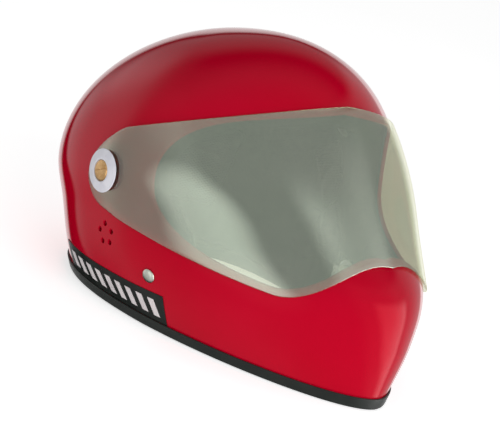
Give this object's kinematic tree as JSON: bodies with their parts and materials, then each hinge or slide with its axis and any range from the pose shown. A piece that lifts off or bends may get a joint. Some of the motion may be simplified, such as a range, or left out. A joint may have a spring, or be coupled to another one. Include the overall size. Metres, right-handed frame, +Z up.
{
  "type": "full-face helmet",
  "caption": "Full-face downhill helmet: gloss moulded shell, hard foam and pad lining, swing-up tinted visor on side pivots, rubber edge and ringed chin strap.",
  "frame": {"origin": "on the floor under the middle of the helmet's box, with the helmet standing on the rubber edge of its shell", "axes": "+Z up, -Y the wearer's front, +X the wearer's left; the visor's pivot axis runs along X"},
  "size_m": [0.2564, 0.334, 0.2127],
  "materials": {
    "shell_gloss": "gloss",
    "foam": "matte",
    "edge_rubber": "satin",
    "pad_fabric": "matte",
    "hook_tape": "matte",
    "band_black": "gloss",
    "band_pale": "gloss",
    "visor_sheet": "gloss",
    "nylon": "satin",
    "washer_white": "satin",
    "brass": "satin",
    "steel": "satin",
    "rivet_metal": "satin",
    "webbing": "matte",
    "ring_steel": "polished"
  },
  "bodies": {
    "helmet": {"outer_shell": "shell_gloss", "dome_liner": "foam", "chin_liner": "foam", "bottom_trim": "edge_rubber", "crown_pad": "pad_fabric", "brow_pad": "pad_fabric", "neck_pad": "pad_fabric", "temple_pad_left": "pad_fabric", "temple_pad_right": "pad_fabric", "cheek_pad_left": "pad_fabric", "cheek_pad_right": "pad_fabric", "hook_dots": "hook_tape", "side_bands": "band_black", "band_bars": "band_pale", "visor_bushing_left": "nylon", "visor_bushing_right": "nylon", "visor_washer_left": "washer_white", "visor_washer_right": "washer_white", "visor_screw_left": "brass", "visor_screw_right": "brass", "tee_nut_left": "steel", "tee_nut_right": "steel", "strap_rivet_left": "rivet_metal", "strap_rivet_right": "rivet_metal", "rivet_spacer_left": "nylon", "rivet_spacer_right": "nylon"},
    "visor": {"visor": "visor_sheet"},
    "chin_strap": {"strap_hanger_left": "steel", "strap_hanger_right": "steel", "strap_left": "webbing", "strap_right": "webbing", "d_ring_inner": "ring_steel", "d_ring_outer": "ring_steel", "snap_stud": "steel", "snap_socket": "steel"}
  },
  "joints": [
    {"name": "visor_swing", "type": "hinge", "parent": "helmet", "child": "visor", "pos_m": [0, 0.02785, 0.10154], "axis": [-1, 0, 0], "range_deg": [0, 60]},
    {"name": "strap_swing", "type": "hinge", "parent": "helmet", "child": "chin_strap", "pos_m": [0, -0.02101, 0.04213], "axis": [1, 0, 0], "range_deg": [-15, 15]}
  ]
}
